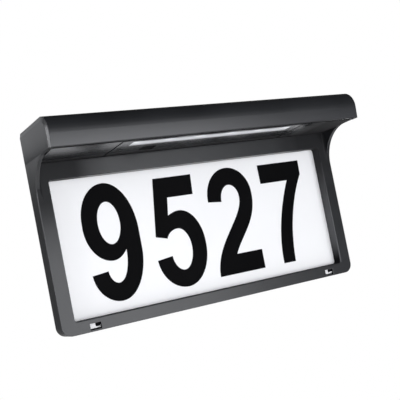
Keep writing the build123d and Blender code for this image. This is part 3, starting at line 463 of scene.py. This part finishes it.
# painted shade: the frosted face's colour is painted darker towards both long edges, following the glow
strip_painted_falloff = [
    (0.05, (0.36, 0.365, 0.39)),
    (0.34, (0.70, 0.71, 0.74)),
    (0.60, (0.64, 0.65, 0.68)),
    (0.97, (0.30, 0.305, 0.33)),
]
frosted.colour(frosted.ramp(across, strip_painted_falloff))
frosted.rough(frosted.span(grain, 0.34, 0.46))
frosted.bump((grain, 0.00001, 0.3))
lamp_phase = frosted.product(frosted.maths("SUBTRACT", place["X"], lamp_pitch / 2), math.tau / lamp_pitch)
at_lamp = frosted.maths("POWER", frosted.span(frosted.maths("COSINE", lamp_phase), 0.0, 1.0, -1.0, 1.0), 5.0)
dash = frosted.product(at_lamp, frosted.span(frosted.off(across, dash_line), 1.0, 0.0, 0.05, 0.16))
middle = frosted.span(frosted.off(across, 0.5), 0.30, 0.10, 0.0, 0.5)
frosted.give("Emission Color", (0.95, 0.97, 1.0))
frosted.give("Emission Strength", frosted.maths("ADD", middle, frosted.product(dash, dash_glow)))
dress(frosted, "led_diffuser")

# lamps: white frames round a yellow phosphor
phosphor = Shader("lamp_phosphor")
cell = phosphor.maths("PINGPONG", phosphor.split()["X"], lamp_pitch / 2)
from_middle = phosphor.off(cell, lamp_pitch / 2)
face = [(0.42, (0.85, 0.66, 0.16)), (0.50, (0.82, 0.82, 0.80))]
phosphor.colour(phosphor.ramp(phosphor.product(from_middle, 250.0), face))
phosphor.rough(phosphor.span(phosphor.noise(3000.0), 0.3, 0.5))
phosphor.bump((phosphor.noise(2500.0), 0.00001, 0.3))
dress(phosphor, "led_packages")

# the cell: plated ends and a plain two-tone sleeve
plating = (0.62, 0.61, 0.58)
green = (0.03, 0.16, 0.10)
silver_grey = (0.55, 0.56, 0.55)
sleeve = Shader("cell_sleeve")
cell_low, cell_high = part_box("battery")
cell_x = sleeve.maths("SUBTRACT", sleeve.split()["X"], cell_low[0])
along = sleeve.maths("DIVIDE", cell_x, cell_high[0] - cell_low[0])
bands = [(0.0, plating), (0.035, plating), (0.036, green), (0.30, green)]
bands += [(0.301, silver_grey), (0.985, silver_grey), (0.986, plating)]
sleeve.colour(sleeve.ramp(along, bands))
sleeve.give("Metallic", sleeve.most(sleeve.below(along, 0.035), sleeve.above(along, 0.986)))
sleeve.rough(sleeve.span(sleeve.noise(120.0), 0.22, 0.34))
sleeve.bump((sleeve.noise(300.0), 0.00002, 0.3))
dress(sleeve, "battery")

# solar cells: dark blue crystal with fine silver fingers and two bus lines a cell
cell_count = 12
finger_pitch = 0.0015
finger_half_wide = 0.00007
bus_half_wide = 0.0005
away = 1.0  # metres added before a fold, so that what is folded is never negative
silicon = Shader("solar_silicon")
flake = silicon.voronoi(140.0)
crystal = silicon.ramp(flake, [(0.15, (0.008, 0.014, 0.045)), (0.7, (0.018, 0.034, 0.110))])
place = silicon.split()
row = silicon.maths("PINGPONG", silicon.maths("ADD", place["Y"], away), finger_pitch / 2)
finger = silicon.below(row, finger_half_wide)
cells_low, cells_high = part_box("solar_cells")
pitch = (cells_high[0] - cells_low[0]) / cell_count
column = silicon.maths("PINGPONG", silicon.maths("ADD", place["X"], away + pitch / 2), pitch / 2)
bus = silicon.below(silicon.off(column, pitch / 4), bus_half_wide)
silver = silicon.most(finger, bus)
silicon.colour(silicon.blend(silver, crystal, (0.42, 0.43, 0.45)))
silicon.rough(silicon.span(flake, 0.22, 0.38, 0.0, 1.0))
silicon.bump((silver, 0.00002, 0.5))
dress(silicon, "solar_cells")

# clear cover of the panel, with a faint orange-peel
clear = Shader("solar_laminate")
clear.colour((0.95, 0.97, 0.97))
clear.give("Transmission Weight", 1.0)
clear.give("IOR", 1.46)
peel = clear.noise(500.0, 2.0, 0.5)
clear.rough(clear.span(peel, 0.03, 0.09))
clear.bump((peel, 0.00001, 0.25))
dress(clear, "solar_cover")

# --------------------------------------------------------------------- studio
# A white sweep behind the sign, a dim room in front of it, and soft lamps.
world = bpy.data.worlds.new("studio")
scene.world = world
world.use_nodes = True
world.node_tree.nodes.clear()
sky = Tree(world.node_tree)


def background(strength):
    """Even white light, of a fixed strength or of one that a node gives."""
    node = sky.add("ShaderNodeBackground")
    node.inputs["Color"].default_value = (1.0, 1.0, 1.0, 1.0)
    if isinstance(strength, float):
        node.inputs["Strength"].default_value = strength
    else:
        sky.link(strength, node.inputs["Strength"])
    return node.outputs[0]


def either(choice, first, second):
    """The first light, or the second where the choice is 1."""
    node = sky.add("ShaderNodeMixShader")
    sky.link(choice, node.inputs["Fac"])
    sky.link(first, node.inputs[1])
    sky.link(second, node.inputs[2])
    return node.outputs[0]


# the sweep as polished parts see it: white behind, and dark towards the front, overhead and below
way = sky.add("ShaderNodeTexCoord").outputs["Generated"]
towards_sweep = sky.add("ShaderNodeVectorMath", operation="DOT_PRODUCT")
towards_sweep.inputs[1].default_value = (0.70, 0.60, -0.38)
sky.link(way, towards_sweep.inputs[0])
fall = sky.span(towards_sweep.outputs["Value"], 0.05, 1.0, 0.35, 0.80, "SMOOTHSTEP")
height = sky.add("ShaderNodeSeparateXYZ")
sky.link(way, height.inputs["Vector"])
ceiling = sky.span(height.outputs["Z"], 1.0, 0.09, 0.0, 0.30, "SMOOTHSTEP")
cellar = sky.span(height.outputs["Z"], 0.08, 1.0, -0.35, -0.12, "SMOOTHSTEP")
polish = background(sky.product(fall, sky.product(ceiling, cellar)))
white = background(1.0)
room = background(0.35)
path = sky.add("ShaderNodeLightPath").outputs
straight = sky.most(path["Is Camera Ray"], path["Is Transmission Ray"])
seen_sky = either(straight, either(path["Is Glossy Ray"], room, polish), white)
sky.link(seen_sky, sky.add("ShaderNodeOutputWorld").inputs["Surface"])


def lamp(name, place, aim, size, radiance):
    """A soft rectangular lamp; its power follows from its radiance and its area."""
    data = bpy.data.lights.new(name, "AREA")
    data.shape = "RECTANGLE"
    data.size, data.size_y = size
    data.energy = radiance * math.pi * size[0] * size[1]
    data.color = (0.955, 0.968, 1.0)
    obj = bpy.data.objects.new(name, data)
    scene.collection.objects.link(obj)
    obj.location = place
    obj.rotation_euler = (Vector(aim) - Vector(place)).to_track_quat("-Z", "Y").to_euler()
    obj.visible_camera = False


lamp("front_right", (0.55, -1.40, -0.26), (0.0, 0.0, -0.06), (0.62, 0.70), 4.3)
lamp("front_left", (-0.25, -1.40, -0.26), (0.0, 0.0, -0.06), (1.00, 0.70), 3.1)
lamp("front_middle", (0.15, -1.40, 0.20), (0.0, 0.0, -0.02), (1.40, 0.22), 1.9)
lamp("front_high", (0.15, -1.35, 0.50), (0.0, 0.0, -0.02), (1.40, 0.40), 0.8)
lamp("front_top", (0.15, -1.10, 0.95), (0.0, 0.0, -0.02), (1.40, 0.60), 0.2)
lamp("left", (-1.20, -0.42, 0.25), (-0.1, 0.0, -0.03), (0.35, 0.8), 3.5)
lamp("edge", (-1.08, 0.73, 0.26), (-0.15, 0.0, 0.0), (0.30, 0.5), 6.5)
lamp("back", (-0.45, 1.30, 0.50), (0.0, 0.0, -0.05), (0.7, 0.6), 0.68)
lamp("rear", (0.80, 1.30, -0.08), (0.0, 0.0, -0.05), (1.0, 0.5), 4.0)

# the floor: a pale disc under the sign, as white as the sweep where the camera sees it
floor_radius = 0.56
floor_z = -0.4
floor_sides = 96
floor_glow = 0.72
turns = [math.tau * i / floor_sides for i in range(floor_sides)]
floor_rim = [(floor_radius * math.cos(turn), floor_radius * math.sin(turn), floor_z) for turn in turns]
floor_mesh = bpy.data.meshes.new("floor")
floor_mesh.from_pydata(floor_rim, [], [range(floor_sides)])
floor = bpy.data.objects.new("floor", floor_mesh)
scene.collection.objects.link(floor)
ground = Shader("floor_white")
ground.colour((0.80, 0.80, 0.80))
ground.rough(1.0)
ground.give("Specular IOR Level", 0.0)
ray = ground.add("ShaderNodeLightPath").outputs
seen = ground.most(ray["Is Camera Ray"], ray["Is Glossy Ray"], ray["Is Transmission Ray"])
ground.give("Emission Color", (1.0, 1.0, 1.0))
ground.give("Emission Strength", ground.product(seen, floor_glow))
# the floor doesn't hide the sign from a camera below it
below = ground.add("ShaderNodeMixShader")
ground.link(ground.add("ShaderNodeNewGeometry").outputs["Backfacing"], below.inputs["Fac"])
ground.link(ground.bsdf.outputs["BSDF"], below.inputs[1])
ground.link(ground.add("ShaderNodeBsdfTransparent").outputs["BSDF"], below.inputs[2])
ground.link(below.outputs["Shader"], ground.out.inputs["Surface"])
floor_mesh.materials.append(ground.mat)

# --------------------------------------------------------------------- camera
camera_data = bpy.data.cameras.new("camera")
camera_data.sensor_width = 36.0
camera_data.lens = 66.31
camera_data.shift_x = -0.01257
camera_data.shift_y = 0.0761
camera_data.clip_start = 0.01
camera_data.clip_end = 50.0
camera = bpy.data.objects.new("camera", camera_data)
scene.collection.objects.link(camera)
camera.location = (-0.33614, -0.58574, -0.10179)
camera.rotation_euler = (1.6064483, 0.1940533, -0.5181749)
scene.camera = camera
